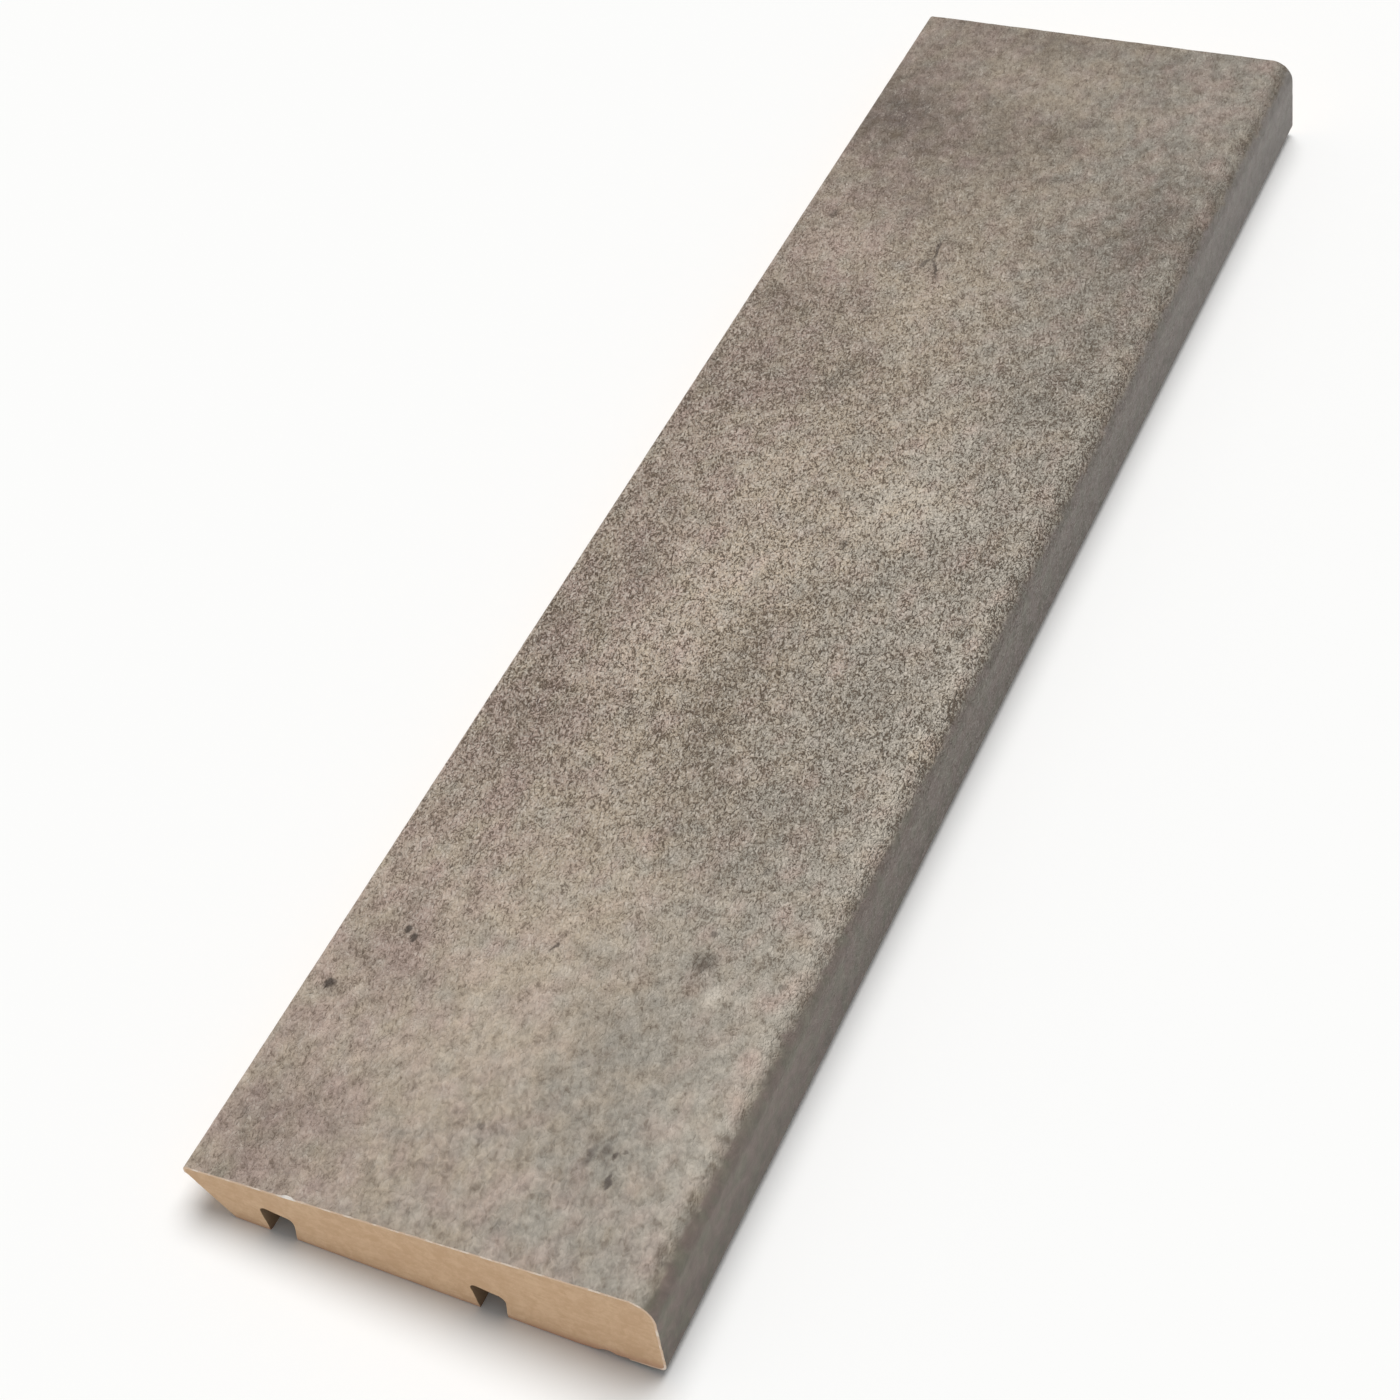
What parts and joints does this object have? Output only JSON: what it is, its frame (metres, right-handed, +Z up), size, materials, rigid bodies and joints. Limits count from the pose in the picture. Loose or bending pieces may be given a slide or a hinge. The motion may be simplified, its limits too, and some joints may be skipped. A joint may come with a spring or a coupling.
{
  "type": "skirting board length",
  "caption": "Short cut length of foil-wrapped MDF skirting board with a rounded top edge, bevelled foot and undercut clip grooves along its sloping back.",
  "frame": {"origin": "centre of the footprint on the floor, with the board lying on its sloping back, front face up", "axes": "+Y along the board's length, +Z up from the floor, +X from the foot of the board towards its top edge"},
  "size_m": [0.0588, 0.232, 0.0124],
  "materials": {
    "mdf": "matte",
    "decor_foil": "matte"
  },
  "bodies": {
    "root": {"mdf_core": "mdf", "decor_foil": "decor_foil"}
  },
  "joints": []
}
